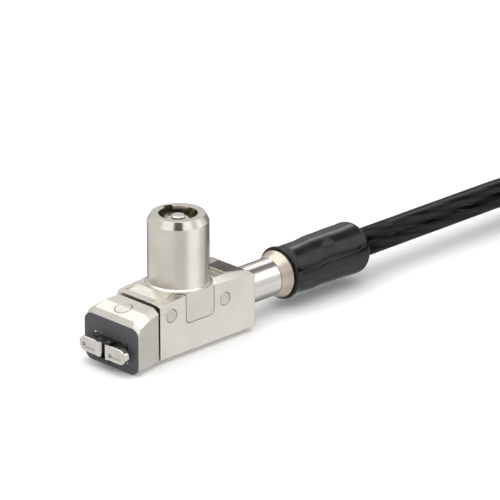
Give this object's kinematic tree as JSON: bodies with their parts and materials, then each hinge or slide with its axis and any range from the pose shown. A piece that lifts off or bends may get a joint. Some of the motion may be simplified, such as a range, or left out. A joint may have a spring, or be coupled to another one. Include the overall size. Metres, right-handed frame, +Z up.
{
  "type": "laptop cable lock",
  "caption": "Laptop cable lock with a two-hook slot head, a push-down key barrel on a steel housing, and a coated steel cable with an end loop, its spare length coiled.",
  "frame": {"origin": "on the barrel axis at the level of the housing underside", "axes": "+X from the slot head to the cable, +Z up along the barrel, Y across the lock"},
  "size_m": [0.1582, 0.0812, 0.0202],
  "materials": {
    "nickel": "satin nickel plating",
    "steel_bright": "polished",
    "steel_dark": "dark brushed",
    "pad_rubber": "matte",
    "boss_black": "matte",
    "brass_pins": "turned",
    "spring_steel": "bright wire",
    "sleeve_black": "gloss",
    "cable_coat": "gloss, clear coat over strands",
    "tie_fabric": "woven"
  },
  "bodies": {
    "housing_body": {"housing": "nickel", "rear_cover": "steel_dark", "stem_clip": "spring_steel", "front_cross_pin": "steel_bright", "rear_cross_pin": "steel_bright", "lift_springs": "spring_steel", "crimp_ferrule": "nickel", "cable_sleeve": "sleeve_black", "cable_run": "cable_coat", "cable_coil": "cable_coat", "coil_tie": "tie_fabric", "cable_tail": "cable_coat", "loop_ferrule": "nickel", "end_loop": "cable_coat"},
    "barrel": {"barrel_carriage": "nickel", "core_sleeve": "brass_pins", "driver_pins": "brass_pins", "pin_springs": "spring_steel"},
    "core": {"lock_core": "steel_bright", "core_hub": "steel_bright", "centre_post": "steel_bright", "key_pins": "brass_pins", "core_clip": "spring_steel", "cam_tail": "steel_dark"},
    "head": {"head_block": "nickel", "head_rivet": "steel_bright", "face_pad": "pad_rubber", "window_frame": "steel_bright", "slot_boss": "boss_black", "hook_pins": "steel_bright", "swivel_spindle": "steel_dark"},
    "hook_l": {"hook_left": "steel_bright"},
    "hook_r": {"hook_right": "steel_bright"},
    "fork": {"drive_fork": "steel_dark"},
    "rod": {"push_rod": "steel_bright"},
    "stem": {"anchor_stem": "steel_bright"}
  },
  "joints": [
    {"name": "barrel_lift", "type": "slide", "parent": "housing_body", "child": "barrel", "axis": [0, 0, 1], "range_m": [0, 0.0024], "deforming": ["lift_springs"]},
    {"name": "key_turn", "type": "hinge", "parent": "barrel", "child": "core", "pos_m": [0, 0, 0.015], "axis": [0, 0, 1], "range_deg": [0, 90]},
    {"name": "head_swivel", "type": "hinge", "parent": "housing_body", "child": "head", "pos_m": [-0.0082, 0, 0.0044], "axis": [1, 0, 0], "range_deg": [-90, 90]},
    {"name": "anchor_swivel", "type": "hinge", "parent": "housing_body", "child": "stem", "pos_m": [0.0145, 0, 0.0051], "axis": [1, 0, 0], "continuous": true},
    {"name": "hook_left_fold", "type": "hinge", "parent": "head", "child": "hook_l", "pos_m": [-0.0147, 0.0009, 0.0031], "axis": [0, 0, 1], "range_deg": [0, 65.1]},
    {"name": "hook_right_fold", "type": "hinge", "parent": "head", "child": "hook_r", "pos_m": [-0.0147, -0.0009, 0.0031], "axis": [0, 0, 1], "range_deg": [-65.1, 0]},
    {"name": "fork_slide", "type": "slide", "parent": "head", "child": "fork", "axis": [-1, 0, 0], "range_m": [0, 0.00056]},
    {"name": "rod_slide", "type": "slide", "parent": "housing_body", "child": "rod", "axis": [-1, 0, 0], "range_m": [0, 0.00056]}
  ],
  "couplings": [
    {"joint": "hook_left_fold", "follows": "barrel_lift", "rad_per_m": 472.69},
    {"joint": "hook_right_fold", "follows": "barrel_lift", "rad_per_m": -472.69},
    {"joint": "fork_slide", "follows": "barrel_lift", "ratio": 0.22917},
    {"joint": "rod_slide", "follows": "barrel_lift", "ratio": 0.22917}
  ]
}
